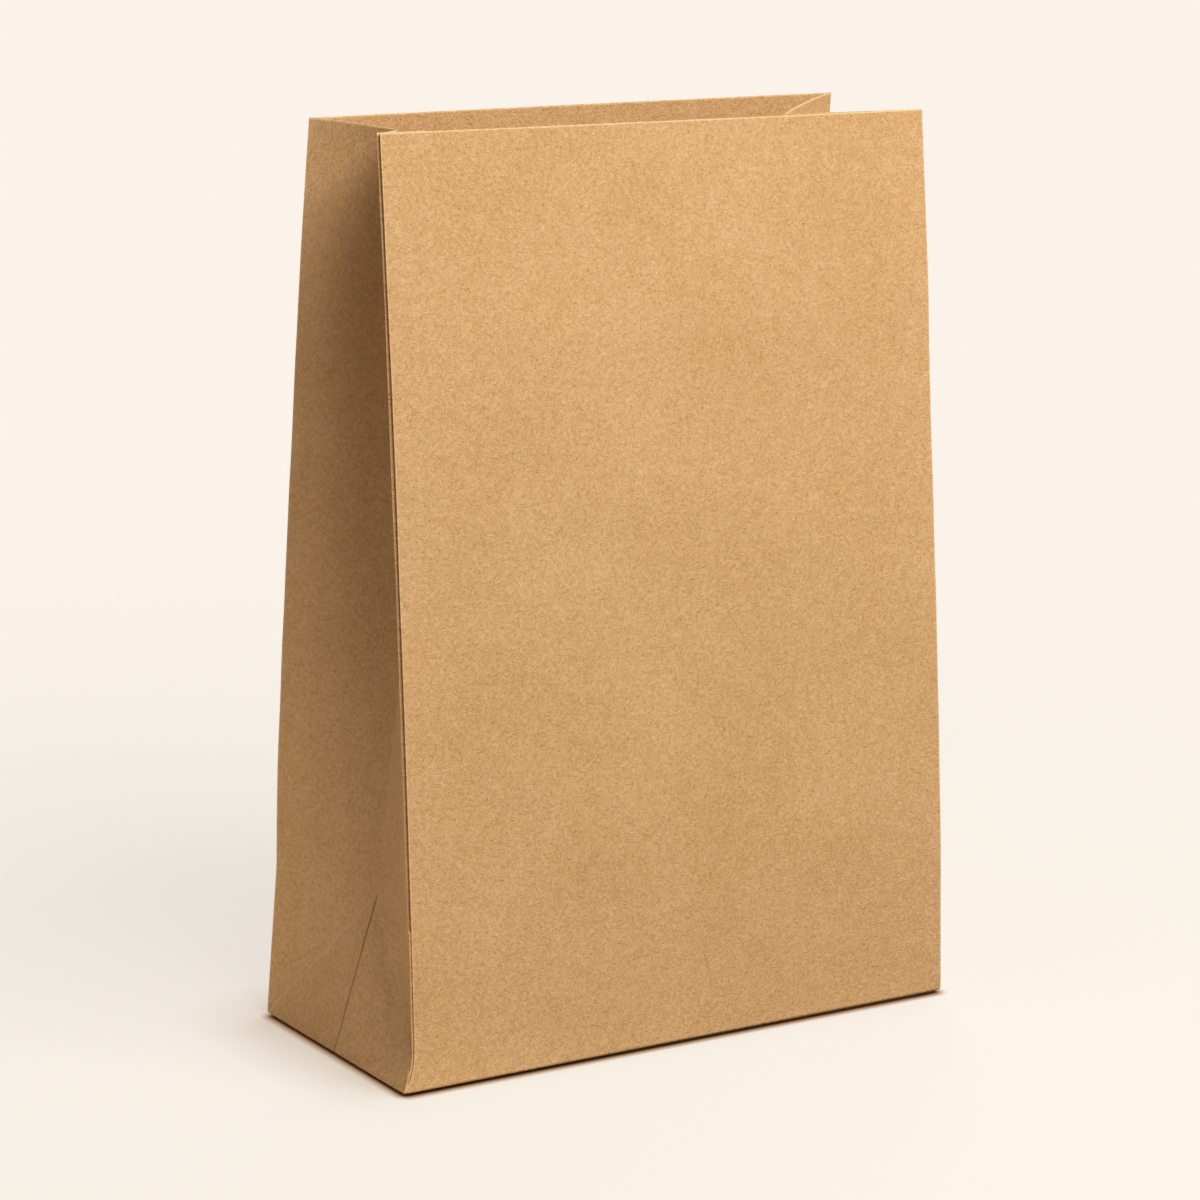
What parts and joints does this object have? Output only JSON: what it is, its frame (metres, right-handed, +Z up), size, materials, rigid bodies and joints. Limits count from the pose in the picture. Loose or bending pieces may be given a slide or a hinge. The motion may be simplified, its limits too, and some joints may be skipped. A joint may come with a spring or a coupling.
{
  "type": "brown paper lunch bag",
  "caption": "Upright brown kraft paper lunch bag with a flat block bottom, gusseted sides and an open, straight-cut mouth.",
  "frame": {"origin": "on the ground under the middle of the base", "axes": "+Z up out of the mouth, +Y towards the back panel, -Y towards the front panel, +X along the width to the right seen from the front"},
  "size_m": [0.19, 0.082, 0.27],
  "materials": {
    "kraft_paper": "matt brown kraft paper with a mottled fibre grain"
  },
  "bodies": {
    "root": {"paper_bag": "kraft_paper"}
  },
  "joints": []
}
